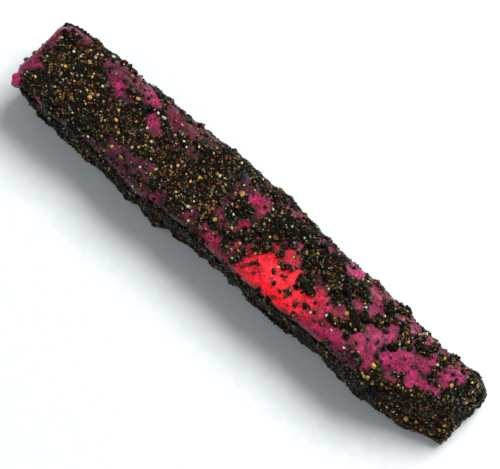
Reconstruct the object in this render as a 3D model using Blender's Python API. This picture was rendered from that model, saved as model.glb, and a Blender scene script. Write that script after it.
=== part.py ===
# Rough ruby: a long four-sided bar of ruby, broken off at both ends, with a crust of dark grit.
# It grew as one piece, so it is one closed solid. It lies along X on the flat of its underside,
# with its near right end at +X, its back at +Y and +Z up. The origin is under its middle.

import math

import bmesh
import bpy
import numpy as np
from mathutils import Euler, Matrix, Vector

# Sizes are in millimetres, and the mesh is brought to metres as it is made.
millimetre = 0.001

# The bare bar, under its crust
leftEnd = -63.0
rightEnd = 62.2
barLength = rightEnd - leftEnd
barMiddle = (rightEnd + leftEnd) / 2.0
barWidth = 20.0
barHeight = 16.0
edgeRadius = 3.0
# How far its front and back stand from the middle line at the base, and at which x
frontLine = (
    (-63, 9.0), (-52, 10.4), (-36, 10.4), (-22, 11.0), (2, 9.9),
    (18, 10.1), (28, 9.4), (42, 9.6), (52, 9.2), (63, 7.2),
)
backLine = ((-63, 9.2), (-50, 9.7), (-24, 10.7), (6, 10.7), (22, 9.9), (36, 9.6), (46, 8.8), (63, 8.3))
frontLean = 1.3             # how far the front leans in from the base to the top
backLean = 0.5
leftUndercut = 0.7          # the far left end leans out towards the base by this much
endLift = 0.5               # height that the top loses towards each end

# Broken faces, as planes that cut the bar: a point on the plane, its outward normal and
# the width over which its edge is softened
cutFaces = (
    ((58.3, 0.0, 16.4), (0.895, -0.15, 0.42), 0.7),       # right end, leaning back
    ((48.4, -4.7, 16.4), (0.379, -0.842, 0.384), 0.8),    # long slant across the front right corner
    ((61.0, 8.0, 8.0), (0.72, 0.69, 0.05), 0.8),          # chip down the back right corner
    ((-60.6, 8.4, 14.0), (-0.5, 0.62, 0.6), 0.7),         # chip off the back left corner
)

# The crust, and the swells of the stone under it: height, wave length and seed of each
crustHeight = 0.85
windowEdge = 0.3            # how much of a window's size its ragged edge takes
stoneSwells = ((0.2, 30.0, 11), (0.11, 11.0, 12))
crustSwells = ((0.15, 9.0, 21), (0.2, 4.8, 22))
wavesPerSwell = 28
restHeight = 0.55           # the underside is worn flat up to this height

# Places on the top where the ruby lies bare: x, y, half length, half width and turn in degrees
topWindows = (
    (-62.4, 1.0, 1.7, 9.5, 0.0),
    (-44.5, 6.0, 4.0, 2.6, -30.0),
    (-37.0, 7.0, 5.5, 2.6, -12.0),
    (-29.0, 4.2, 4.4, 2.4, -8.0),
    (-32.0, -8.8, 8.5, 1.3, 0.0),
    (-20.5, -8.6, 5.0, 1.2, 0.0),
    (-2.6, -7.2, 4.4, 2.1, -4.0),
    (-1.2, 5.1, 3.6, 2.3, 14.0),
    (5.5, -6.9, 4.8, 2.2, -8.0),
    (12.5, -5.0, 7.4, 4.6, -4.0),
    (13.6, 0.2, 4.2, 2.3, -12.0),
    (21.5, -5.6, 6.2, 3.6, -4.0),
    (30.5, -5.2, 6.4, 3.2, 0.0),
    (37.5, -1.6, 5.2, 3.4, 30.0),
    (40.5, 1.8, 3.4, 1.9, 20.0),
    (35.3, 5.2, 2.2, 1.7, 0.0),
    (44.6, -2.4, 6.0, 3.0, 14.0),
    (51.0, 1.0, 4.6, 3.2, 40.0),
    (54.0, -0.6, 2.6, 1.4, 40.0),
    (56.6, 5.6, 3.6, 2.6, 20.0),
)
# The same on the front, the back and the underside: x, height or y, half length, half width
frontWindows = (
    (-47.5, 12.8, 2.2, 1.8),
    (-22.0, 12.6, 6.0, 1.8),
    (2.0, 12.0, 5.0, 1.6),
    (16.0, 6.0, 4.5, 2.2),
)
backWindows = (
    (-42.0, 11.0, 5.0, 2.2),
    (4.0, 6.5, 6.0, 3.0),
    (28.0, 13.0, 10.0, 1.5),
    (50.0, 12.6, 8.0, 1.7),
)
underWindows = ((-34.0, 2.0, 7.0, 4.0), (13.0, -1.0, 9.0, 5.5), (44.0, 1.0, 6.0, 3.5))

# Grains that stand out of the crust. Each is placed by the side it grows from, its x, its
# height or y on that side, its radius and how squat it is.
standingGrains = (
    ("top", 19.4, -1.4, 1.7, 0.85),
    ("top", 27.6, 4.2, 2.3, 0.7),
    ("top", 32.8, -0.4, 1.7, 0.7),
    ("top", 43.3, -5.0, 1.3, 0.75),
    ("top", 57.2, 2.6, 1.2, 0.8),
    ("top", 30.8, -1.9, 1.0, 0.8),
    ("top", 8.4, -0.6, 1.3, 0.8),
    ("top", -10.7, 4.2, 0.9, 0.9),
    ("top", -44.9, -1.4, 1.2, 0.7),
    ("top", -49.5, -5.6, 1.1, 0.8),
    ("top", 49.1, 4.9, 1.5, 0.7),
    ("top", 44.0, 3.0, 1.4, 0.7),
    ("front", 52.7, 11.0, 1.5, 0.75),
    ("front", 44.5, 2.6, 1.0, 0.9),
    ("front", 61.0, 3.2, 1.7, 1.0),
    ("back", 11.8, 13.2, 1.6, 0.8),
    ("back", -34.6, 12.8, 1.3, 0.9),
    ("back", -3.2, 12.6, 1.3, 0.9),
    ("back", 40.4, 12.0, 1.1, 0.9),
    ("back", 44.2, 11.4, 1.5, 0.9),
    ("front", -61.5, 13.4, 1.9, 0.95),
    ("right", -0.5, 5.0, 1.0, 0.9),
)
looseCount = 124            # further grains, at places drawn from a seed
looseRadius = (0.75, 1.35)
looseSquat = (0.65, 0.95)
looseLumpy = (0.86, 1.1)    # how far each corner of a grain stands out, in radii
looseSeed = 5
leastSpacing = 1.35         # least distance between two grains, in sums of their radii
grainSink = 0.25            # how far a grain's middle lies under the crust, in radii
floorGap = 0.35             # no grain comes nearer to the resting plane than this

gridStep = 2.3              # spacing of the squares that the block is scored into
toMiddle = (0.42, -0.22, 0.0)   # brings the middle of the stone over the origin

rubyColour = (0.115, 0.03, 0.055, 1.0)
rubyRoughness = 0.62


# A band of even noise: many waves of about one length, each in its own direction, added up.
def swell(points, length, seed):
    draw = np.random.default_rng(seed)
    heading = draw.normal(size=(3, wavesPerSwell))
    heading /= np.linalg.norm(heading, axis=0)
    pace = 2.0 * math.pi / length * draw.uniform(0.7, 1.35, wavesPerSwell)
    start = draw.uniform(0.0, 2.0 * math.pi, wavesPerSwell)
    waves = np.cos(points @ (heading * pace) + start)
    return waves.sum(axis=1) * math.sqrt(2.0 / wavesPerSwell)


def swells(points, bands):
    return sum(height * swell(points, length, seed) for height, length, seed in bands)


def smoothStep(values, low, high):
    share = np.clip((values - low) / (high - low), 0.0, 1.0)
    return share * share * (3.0 - 2.0 * share)


def unit(vectors):
    return vectors / np.linalg.norm(vectors, axis=-1, keepdims=True)


# The bare bar as a function of a point on the surface of the cube from -1 to 1: a box with
# rounded edges, drawn to the lines of its front and back, and cut by its broken faces.
# It returns the points and the way that each faces.
def barePoints(cube):
    half = np.array([barLength, barWidth, barHeight]) / 2.0
    box = cube * half
    core = np.clip(box, edgeRadius - half, half - edgeRadius)
    facing = unit(box - core)
    points = core + facing * edgeRadius
    rise = points[:, 2] / barHeight + 0.5
    endShare = points[:, 0] / half[0]
    points[:, 0] += barMiddle
    front = np.interp(points[:, 0], *zip(*frontLine)) - frontLean * rise
    back = np.interp(points[:, 0], *zip(*backLine)) - backLean * rise
    across = points[:, 1] / half[1]
    points[:, 1] = (back - front) / 2.0 + across * (back + front) / 2.0
    points[:, 2] += barHeight / 2.0 - endLift * rise * endShare**4
    points[:, 0] -= leftUndercut * (1.0 - rise) * smoothStep(-endShare, 1.0 - edgeRadius / half[0], 1.0)
    for spot, normal, softness in cutFaces:
        away = unit(np.array(normal))
        over = (points - np.array(spot)) @ away
        cut = np.where(over > -softness, (over + softness) ** 2 / (4.0 * softness), 0.0)
        cut = np.where(over > softness, over, cut)
        points -= cut[:, None] * away
        turned = smoothStep(over, -softness, softness)[:, None]
        facing = unit(facing * (1.0 - turned) + away * turned)
    return points, facing


# How bare each point is, from 0 under full crust to 1 in a window. Each window is an oval
# on one side of the bar, and its edge wanders with a swell of its own.
def bareness(points, facing):
    ragged = windowEdge * swell(points, 5.5, 31)
    bare = np.zeros(len(points))
    for x, y, halfLength, halfWidth, turn in topWindows:
        lean = math.radians(turn)
        right = points[:, 0] - x
        back = points[:, 1] - y
        inX = (right * math.cos(lean) + back * math.sin(lean)) / halfLength
        inY = (back * math.cos(lean) - right * math.sin(lean)) / halfWidth
        size = np.hypot(inX, inY) + ragged
        bare = np.maximum(bare, smoothStep(-size, -1.15, -0.75) * (facing[:, 2] > 0.2))
    sides = (
        (frontWindows, 2, -facing[:, 1]),
        (backWindows, 2, facing[:, 1]),
        (underWindows, 1, -facing[:, 2]),
    )
    for windows, across, outward in sides:
        for x, place, halfLength, halfWidth in windows:
            size = np.hypot((points[:, 0] - x) / halfLength, (points[:, across] - place) / halfWidth)
            bare = np.maximum(bare, smoothStep(-size - ragged, -1.15, -0.75) * (outward > 0.4))
    return bare


# The outside of the stone: the bare bar, raised by its crust wherever it isn't bare, and
# worn to a plane underneath.
def outsidePoints(cube):
    points, facing = barePoints(cube)
    covered = 1.0 - bareness(points, facing)
    crust = covered * (crustHeight + swells(points, crustSwells))
    height = crust + swells(points, stoneSwells)
    points = points + facing * height[:, None]
    points[:, 2] += crustHeight
    points[:, 2] = np.where(points[:, 2] < restHeight, restHeight, points[:, 2]) - restHeight
    return points, facing


# The point of the cube that lies under a place on one side of the bar.
def cubePlace(side, first, second):
    inX = (first - barMiddle) / (barLength / 2.0)
    inY = first / (barWidth / 2.0)
    inZ = (second - barHeight / 2.0) / (barHeight / 2.0)
    places = {
        "top": (inX, second / (barWidth / 2.0), 1.0),
        "front": (inX, -1.0, inZ),
        "back": (inX, 1.0, inZ),
        "left": (-1.0, inY, inZ),
        "right": (1.0, inY, inZ),
    }
    return np.clip(places[side], -1.0, 1.0)


# All the grains that stand out: those named above, then those drawn from the seed, which
# keep clear of each other, of the windows and of the resting plane.
def chooseGrains():
    grains = []
    for side, first, second, radius, squat in standingGrains:
        spot, facing = outsidePoints(cubePlace(side, first, second)[None, :])
        grains.append((spot[0] - facing[0] * radius * grainSink, facing[0], radius, squat))
    draw = np.random.default_rng(looseSeed)
    sides = ("top", "front", "back", "left", "right")
    shares = (0.34, 0.27, 0.27, 0.06, 0.06)
    added = 0
    while added < looseCount:
        side = sides[draw.choice(len(sides), p=shares)]
        reach = barWidth if side in ("left", "right") else barLength
        first = draw.uniform(-0.46, 0.46) * reach
        second = draw.uniform(0.15, 0.8) * barHeight
        if side == "top":
            second = draw.uniform(-0.42, 0.42) * barWidth
        radius = draw.uniform(*looseRadius)
        squat = draw.uniform(*looseSquat)
        cube = cubePlace(side, first, second)[None, :]
        spot, facing = outsidePoints(cube)
        middle = spot[0] - facing[0] * radius * grainSink
        bare = bareness(*barePoints(cube))[0]
        clear = all(
            np.linalg.norm(middle - other) > leastSpacing * (radius + size) for other, _, size, _ in grains
        )
        if clear and bare < 0.3 and middle[2] > radius + floorGap:
            grains.append((middle, facing[0], radius, squat))
            added += 1
    return grains


# The block: a cube scored into squares of about one grid step, then drawn to its place by
# the formula for the outside.
def makeBar(collection):
    shape = bmesh.new()
    bmesh.ops.create_cube(shape, size=2.0)
    for axis, size in enumerate((barLength, barWidth, barHeight)):
        steps = round(size / gridStep)
        for step in range(1, steps):
            spot = Vector((0.0, 0.0, 0.0))
            spot[axis] = 2.0 * step / steps - 1.0
            normal = Vector((0.0, 0.0, 0.0))
            normal[axis] = 1.0
            pieces = shape.verts[:] + shape.edges[:] + shape.faces[:]
            bmesh.ops.bisect_plane(shape, geom=pieces, dist=1e-5, plane_co=spot, plane_no=normal)
    cube = np.array([vert.co[:] for vert in shape.verts])
    points, _ = outsidePoints(cube)
    for vert, point in zip(shape.verts, points):
        vert.co = point * millimetre
    bmesh.ops.recalc_face_normals(shape, faces=shape.faces)
    mesh = bpy.data.meshes.new("rough_ruby")
    shape.to_mesh(mesh)
    shape.free()
    bar = bpy.data.objects.new("rough_ruby", mesh)
    bar.location = Vector(toMiddle) * millimetre
    collection.objects.link(bar)
    return bar


# The standing grains, each a small faceted ball pressed flat towards the crust, turned about
# its own upright by a seeded angle and made uneven corner by corner.
def makeGrains(collection):
    shape = bmesh.new()
    draw = np.random.default_rng(looseSeed + 1)
    for middle, facing, radius, squat in chooseGrains():
        upright = Vector(facing).to_track_quat("Z", "Y").to_matrix().to_4x4()
        spin = Euler((0.0, 0.0, draw.uniform(0.0, 2.0 * math.pi))).to_matrix().to_4x4()
        size = radius * millimetre
        squash = Matrix.Diagonal((size, size * draw.uniform(0.8, 1.0), size * squat, 1.0))
        place = Matrix.Translation(Vector(middle * millimetre)) @ upright @ spin @ squash
        rounds = 2 if radius > looseRadius[1] else 1
        ball = bmesh.ops.create_icosphere(shape, subdivisions=rounds, radius=1.0, matrix=place)
        centre = place.translation
        for vert in ball["verts"]:
            vert.co = centre + (vert.co - centre) * draw.uniform(*looseLumpy)
    mesh = bpy.data.meshes.new("standing_grains")
    shape.to_mesh(mesh)
    shape.free()
    grains = bpy.data.objects.new("standing_grains", mesh)
    grains.location = Vector(toMiddle) * millimetre
    grains.hide_render = True
    grains.display_type = "WIRE"
    collection.objects.link(grains)
    return grains


def makeMaterial():
    material = bpy.data.materials.new("ruby")
    material.use_nodes = True
    shader = material.node_tree.nodes["Principled BSDF"]
    shader.inputs["Base Color"].default_value = rubyColour
    shader.inputs["Roughness"].default_value = rubyRoughness
    shader.inputs["Metallic"].default_value = 0.0
    return material


def newCollection(name):
    collection = bpy.data.collections.new(name)
    bpy.context.scene.collection.children.link(collection)
    return collection


def main():
    for item in list(bpy.data.objects):
        bpy.data.objects.remove(item, do_unlink=True)
    bar = makeBar(newCollection("rough ruby"))
    grains = makeGrains(newCollection("helpers"))
    fuse = bar.modifiers.new("grow grains", "BOOLEAN")
    fuse.operation = "UNION"
    fuse.solver = "EXACT"
    fuse.object = grains
    bar.data.materials.append(makeMaterial())


main()
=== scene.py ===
import math

import bpy
import numpy as np
from mathutils import Matrix, Vector


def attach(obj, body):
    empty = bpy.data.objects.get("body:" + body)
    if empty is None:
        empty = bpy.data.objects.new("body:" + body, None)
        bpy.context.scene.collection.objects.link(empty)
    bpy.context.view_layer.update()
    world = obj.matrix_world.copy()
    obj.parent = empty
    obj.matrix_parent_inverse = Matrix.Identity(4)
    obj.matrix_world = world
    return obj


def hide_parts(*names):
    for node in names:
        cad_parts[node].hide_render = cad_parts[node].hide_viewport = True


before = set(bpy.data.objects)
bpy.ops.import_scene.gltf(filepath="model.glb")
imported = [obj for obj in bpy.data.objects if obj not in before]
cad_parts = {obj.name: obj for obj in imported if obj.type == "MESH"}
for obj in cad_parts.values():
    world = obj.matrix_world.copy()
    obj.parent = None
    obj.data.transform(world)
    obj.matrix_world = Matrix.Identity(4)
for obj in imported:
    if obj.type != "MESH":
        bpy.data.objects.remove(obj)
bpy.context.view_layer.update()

mm = 0.001
nodeName = "rough_ruby"
print("frame loaded")

# The bare bar under its crust, in millimetres: the same sizes and formula as the solid's
bar = {
    "leftEnd": -63.0,
    "rightEnd": 62.2,
    "width": 20.0,
    "height": 16.0,
    "edgeRadius": 3.0,
    "frontLine": (
        (-63, 9.0), (-52, 10.4), (-36, 10.4), (-22, 11.0), (2, 9.9),
        (18, 10.1), (28, 9.4), (42, 9.6), (52, 9.2), (63, 7.2),
    ),
    "backLine": (
        (-63, 9.2), (-50, 9.7), (-24, 10.7), (6, 10.7), (22, 9.9), (36, 9.6), (46, 8.8), (63, 8.3),
    ),
    "frontLean": 1.3,
    "backLean": 0.5,
    "leftUndercut": 0.7,
    "endLift": 0.5,
    "toMiddle": (0.42, -0.22, 0.0),
    # a point on each broken face, the way it faces and how soft its edge is
    "cutFaces": (
        ((58.3, 0.0, 16.4), (0.895, -0.15, 0.42), 0.7),
        ((48.4, -4.7, 16.4), (0.379, -0.842, 0.384), 0.8),
        ((61.0, 8.0, 8.0), (0.72, 0.69, 0.05), 0.8),
        ((-60.6, 8.4, 14.0), (-0.5, 0.62, 0.6), 0.7),
    ),
    # swells, here and below: height, length from crest to crest and seed
    "stoneSwells": ((0.2, 30.0, 11), (0.11, 11.0, 12)),
}

barLength = bar["rightEnd"] - bar["leftEnd"]
barMiddle = (bar["rightEnd"] + bar["leftEnd"]) / 2.0
halfSize = np.array([barLength, bar["width"], bar["height"]]) / 2.0
waves = {"count": 28, "paceSpread": (0.7, 1.35)}


# Even noise: many waves of about one length, each in its own direction, added up. It varies
# about zero, by about one.
def swell(points, length, seed):
    count = waves["count"]
    draw = np.random.default_rng(seed)
    heading = draw.normal(size=(3, count))
    heading /= np.linalg.norm(heading, axis=0)
    pace = 2.0 * math.pi / length * draw.uniform(*waves["paceSpread"], count)
    start = draw.uniform(0.0, 2.0 * math.pi, count)
    return np.cos(points @ (heading * pace) + start).sum(axis=1) * math.sqrt(2.0 / count)


# Several such noises, each times its height, added up.
def swells(points, bands):
    return sum(height * swell(points, length, seed) for height, length, seed in bands)


# A soft step: 0 below low, 1 above high, and between them three squares of the share of the
# way less two of its cubes.
def smoothStep(values, low, high):
    share = np.clip((values - low) / (high - low), 0.0, 1.0)
    return share * share * (3.0 - 2.0 * share)


tiny = 1e-9  # keeps a division by a length from failing where the length is zero


# Each vector over its own length.
def unit(vectors):
    return vectors / np.maximum(np.linalg.norm(vectors, axis=-1, keepdims=True), tiny)


# The bar over the surface of a cube from -1 to 1: a box with rounded edges, drawn to the
# lines of its front and back, then pressed onto each broken face where it passes it.
def barePoints(cube):
    radius = bar["edgeRadius"]
    box = cube * halfSize
    core = np.clip(box, radius - halfSize, halfSize - radius)
    facing = unit(box - core)
    points = core + facing * radius
    rise = points[:, 2] / bar["height"] + 0.5
    endShare = points[:, 0] / halfSize[0]
    points[:, 0] += barMiddle
    front = np.interp(points[:, 0], *zip(*bar["frontLine"])) - bar["frontLean"] * rise
    back = np.interp(points[:, 0], *zip(*bar["backLine"])) - bar["backLean"] * rise
    points[:, 1] = (back - front) / 2.0 + points[:, 1] / halfSize[1] * (back + front) / 2.0
    points[:, 2] += bar["height"] / 2.0 - bar["endLift"] * rise * endShare**4
    leftShare = smoothStep(-endShare, 1.0 - radius / halfSize[0], 1.0)
    points[:, 0] -= bar["leftUndercut"] * (1.0 - rise) * leftShare
    for spot, normal, softness in bar["cutFaces"]:
        away = unit(np.array(normal))
        over = (points - np.array(spot)) @ away
        cut = np.where(over > -softness, (over + softness) ** 2 / (4.0 * softness), 0.0)
        cut = np.where(over > softness, over, cut)
        points -= cut[:, None] * away
        turned = smoothStep(over, -softness, softness)[:, None]
        facing = unit(facing * (1.0 - turned) + away * turned)
    return points, facing


# Where the ruby shows on top: x, y, half length, half width, turn in degrees, and how clean it
# is there. 1 is bare ruby, 0.5 is a dark film dotted with fine grit.
topWindows = (
    # the left end and its corners
    (-60.6, 4.0, 0.9, 4.6, 0, 0.62), (-60.6, -3.4, 1.3, 2.0, 0, 0.75), (-59.4, -3.3, 1.3, 1.2, 0, 0.68),
    (-60.6, -0.3, 0.6, 2.2, 0, 0.45), (-60.8, -6.8, 0.9, 1.0, 0, 0.85), (-58.3, 8.1, 2.4, 0.7, 0, 0.55),
    (-55.2, 7.6, 1.0, 0.7, 0, 0.55), (-57.2, -9.6, 0.7, 0.6, 0, 0.6), (-54.0, -9.2, 1.0, 0.6, 0, 0.85),
    (-46.7, -9.9, 1.2, 0.6, 0, 0.5), (-60.4, 7.6, 1.5, 1.5, 0, 0.8),
    # along the back, left of the middle
    (-41.0, 7.8, 6.5, 1.4, 0, 0.52), (-41.6, 4.3, 1.6, 1.3, 0, 0.88), (-43.2, 6.0, 2.2, 1.2, -25, 0.62),
    (-46.3, 7.0, 1.0, 0.8, 0, 0.62), (-41.5, 6.3, 1.0, 1.2, 0, 0.68), (-36.5, 8.1, 2.0, 0.8, -15, 0.78),
    (-33.0, 7.4, 1.2, 1.0, 0, 0.82), (-35.4, 6.6, 1.4, 0.8, -30, 0.62), (-37.3, 3.8, 1.3, 0.6, -20, 0.45),
    (-30.2, 4.2, 1.2, 1.5, 0, 0.88), (-28.2, 3.8, 1.1, 1.0, 0, 0.72), (-28.0, 2.2, 1.5, 1.1, 0, 0.52),
    (-26.0, 7.4, 3.4, 1.4, -15, 0.56), (-21.3, 7.7, 1.8, 1.4, 20, 0.56), (-28.0, 8.6, 3.5, 0.8, 0, 0.48),
    (-18.5, 9.0, 4.0, 0.6, 0, 0.38), (-22.8, 3.4, 2.2, 1.0, -30, 0.38), (-18.5, 4.0, 1.6, 0.9, 0, 0.36),
    # along the front, left of the middle
    (-30.0, -9.0, 7.0, 1.0, 0, 0.52), (-21.0, -9.1, 2.8, 0.6, 3, 0.82), (-12.5, -9.0, 5.0, 0.8, 0, 0.48),
    (-34.6, -8.5, 1.6, 0.8, 0, 0.62), (-33.0, -6.6, 1.8, 1.2, -30, 0.5), (-24.6, -4.4, 2.2, 0.6, 5, 0.56),
    (-23.2, -6.5, 1.4, 0.6, 0, 0.56), (-29.0, -6.0, 2.5, 1.4, 0, 0.42), (-17.1, -7.6, 1.0, 1.2, 0, 0.52),
    (-9.1, -6.8, 1.0, 1.5, -20, 0.72), (-9.6, -4.8, 0.7, 0.6, 0, 0.52), (-6.8, -8.0, 1.4, 0.7, 0, 0.52),
    # the middle, with its thin veins
    (-2.3, -7.2, 2.6, 1.5, 0, 0.95), (1.5, -8.5, 4.5, 0.5, -3, 0.88), (-1.0, -5.2, 0.7, 0.9, -20, 0.74),
    (-4.9, 0.2, 0.35, 2.0, 0, 0.52), (-3.5, -2.5, 1.3, 0.4, -40, 0.72), (-1.6, -3.4, 0.5, 0.9, 0, 0.82),
    (0.0, -2.3, 1.4, 0.45, 35, 0.84), (1.8, -0.3, 1.4, 0.9, 30, 0.88), (-0.2, 5.2, 2.5, 1.2, 0, 0.95),
    (1.8, 6.3, 1.3, 1.1, 0, 0.92), (-3.0, 6.6, 1.4, 0.6, 0, 0.52), (2.2, 3.4, 0.6, 1.2, 0, 0.58),
    (-4.2, 5.0, 1.4, 0.9, 0, 0.48), (3.2, -5.9, 0.5, 1.3, 15, 0.84), (5.7, -3.1, 0.9, 1.5, 0, 0.95),
    (6.6, -1.2, 1.0, 0.6, -30, 0.84),
    # the wide clear patch right of the middle
    (12.5, -5.8, 6.2, 3.2, 0, 1.0), (9.0, -7.6, 3.0, 1.5, 0, 1.0), (11.0, -3.0, 3.0, 1.6, 25, 1.0),
    (16.8, -3.2, 2.2, 1.4, 0, 0.97), (18.0, -7.3, 3.6, 1.6, 0, 0.95), (14.2, 1.0, 2.0, 1.7, 0, 1.0),
    (11.4, 2.2, 1.3, 0.6, -45, 0.92), (14.0, 3.9, 0.7, 0.7, 0, 0.84), (10.8, 0.7, 0.9, 0.6, 0, 0.88),
    (12.0, -1.4, 1.5, 0.7, 20, 0.97), (17.4, -0.6, 0.8, 1.2, -20, 0.84), (10.7, 3.3, 0.6, 0.5, 0, 0.72),
    (22.5, -4.2, 3.0, 1.3, -5, 0.93), (24.6, -1.8, 1.7, 2.0, 0, 0.88), (23.5, -6.8, 2.8, 1.7, 0, 0.87),
    (29.0, -1.6, 3.2, 1.2, 18, 0.8), (27.8, -4.2, 2.2, 1.6, 0, 0.74), (24.4, 0.5, 1.0, 1.0, 0, 0.42),
    (29.5, -7.4, 3.4, 1.3, 0, 0.8), (33.5, -5.6, 3.4, 2.2, 0, 0.8), (26.5, -8.4, 2.6, 0.6, 0, 0.72),
    (37.5, -7.6, 3.4, 1.0, 0, 0.62), (32.3, 2.8, 1.2, 0.6, -15, 0.82), (21.9, 1.2, 0.9, 0.5, 0, 0.52),
    # the right part
    (38.6, -2.6, 3.4, 2.4, 20, 0.98), (41.4, 1.6, 1.6, 2.2, 10, 0.98), (37.4, 0.8, 1.8, 0.8, 15, 0.88),
    (41.2, 4.0, 0.9, 0.8, 0, 0.92), (39.5, -0.2, 2.0, 1.5, 0, 0.98), (35.7, 4.4, 1.5, 1.5, 0, 1.0),
    (34.4, 6.6, 1.3, 0.9, -45, 0.84), (35.2, 5.8, 1.0, 0.8, 0, 0.92), (47.2, -1.6, 4.6, 2.0, 0, 1.0),
    (45.2, 0.1, 1.2, 0.8, 0, 0.92), (49.0, 1.4, 2.6, 1.2, 0, 0.95), (51.8, 2.6, 1.2, 1.8, -20, 0.98),
    (51.8, 4.4, 0.6, 0.9, 0, 0.92), (51.2, -1.9, 1.6, 1.6, 0, 1.0), (54.8, -0.6, 2.6, 0.9, 10, 0.97),
    (47.8, -4.1, 1.6, 0.9, -20, 0.9), (41.5, -4.6, 1.8, 0.8, 0, 0.92), (42.0, -6.1, 0.9, 0.9, 0, 0.82),
    (56.6, 3.6, 1.8, 1.4, 0, 0.9), (57.6, 5.3, 2.2, 1.2, 10, 0.82), (58.3, 7.2, 1.7, 0.8, 0, 0.64),
    (57.0, 2.0, 0.8, 0.7, 0, 0.84), (47.2, 3.6, 1.2, 1.0, 0, 0.58), (53.6, 2.0, 1.5, 1.5, 0, 0.5),
    # along the back, right of the middle
    (7.4, 8.7, 2.2, 0.5, 0, 0.72), (16.4, 8.2, 1.2, 0.5, 0, 0.52), (19.2, 7.9, 1.2, 0.7, 0, 0.78),
    (26.8, 7.6, 2.0, 0.7, 0, 0.88), (33.6, 7.7, 1.6, 0.6, 0, 0.78), (37.5, 8.0, 2.5, 0.4, 0, 0.62),
    (40.2, 6.3, 1.6, 0.7, 10, 0.84), (42.2, 7.4, 1.2, 0.5, 0, 0.72), (44.6, 6.9, 1.0, 0.9, 0, 0.78),
    (45.0, 5.5, 0.9, 0.6, 0, 0.62), (48.8, 6.7, 1.2, 0.7, 10, 0.78), (53.0, 7.1, 0.8, 0.5, 0, 0.62),
    (50.0, 8.0, 10.0, 0.5, 0, 0.5),
)
# The same on the other sides: x (y on the ends), height (y below), and the rest as above
windows = {
    "top": topWindows,
    "front": (
        (-47.1, 12.8, 2.2, 1.0, 0, 0.5), (-30.0, 14.4, 9.0, 1.2, 0, 0.5), (-24.0, 12.2, 4.0, 0.8, 5, 0.4),
        (2.4, 13.4, 5.0, 0.8, 0, 0.5), (16.4, 6.0, 3.5, 1.4, 0, 0.4), (-52.0, 6.0, 3.0, 1.5, 10, 0.5),
    ),
    "back": (
        (-41.6, 11.0, 5.0, 2.2, 0, 0.8), (4.4, 6.5, 6.0, 3.0, 0, 0.85), (28.4, 13.0, 10.0, 1.5, 0, 0.7),
        (50.4, 12.6, 8.0, 1.7, 0, 0.8), (-18.0, 12.0, 6.0, 1.6, 5, 0.5), (-52.0, 5.0, 3.0, 2.0, 0, 0.6),
        (44.0, 5.0, 4.0, 1.4, 10, 0.6),
    ),
    "under": (
        (-33.6, 1.8, 7.0, 4.0, 0, 0.85), (18.0, -1.6, 15.0, 4.2, 0, 1.0), (46.0, 0.8, 6.0, 3.5, 0, 0.85),
        (-54.0, -2.0, 4.0, 3.0, 0, 0.6), (-10.0, 3.0, 5.0, 3.0, 0, 0.6),
    ),
    "left": (
        (0.5, 14.2, 9.0, 2.2, 0, 0.72), (2.0, 9.0, 4.5, 3.0, 10, 0.75), (-5.0, 11.5, 2.0, 2.0, 0, 0.8),
    ),
    "right": ((4.0, 10.0, 2.0, 1.6, 0, 0.45),),
}
# For each side: the two axes its windows are given in, the axis it faces along and which way,
# and how squarely a spot has to face that way to be on the side
windowSides = {
    "top": (0, 1, 2, 1.0, 0.2),
    "front": (0, 2, 1, -1.0, 0.5),
    "back": (0, 2, 1, 1.0, 0.5),
    "under": (0, 1, 2, -1.0, 0.4),
    "left": (1, 2, 0, -1.0, 0.5),
    "right": (1, 2, 0, 1.0, 0.5),
}
# How the windows' edges run, in millimetres, and the flecks of grit on them. A wave is a
# length and a seed.
windowEdge = {
    "grow": 0.4,
    "softness": 0.55,
    "wander": 0.32,
    "wanderWave": (3.2, 31),
    "fray": 0.24,
    "frayWave": (1.2, 32),
    "fleckWave": (1.9, 34),
    "fleckSpan": (1.35, 1.75),
    "moreWhereDusty": 0.6,
}

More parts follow.
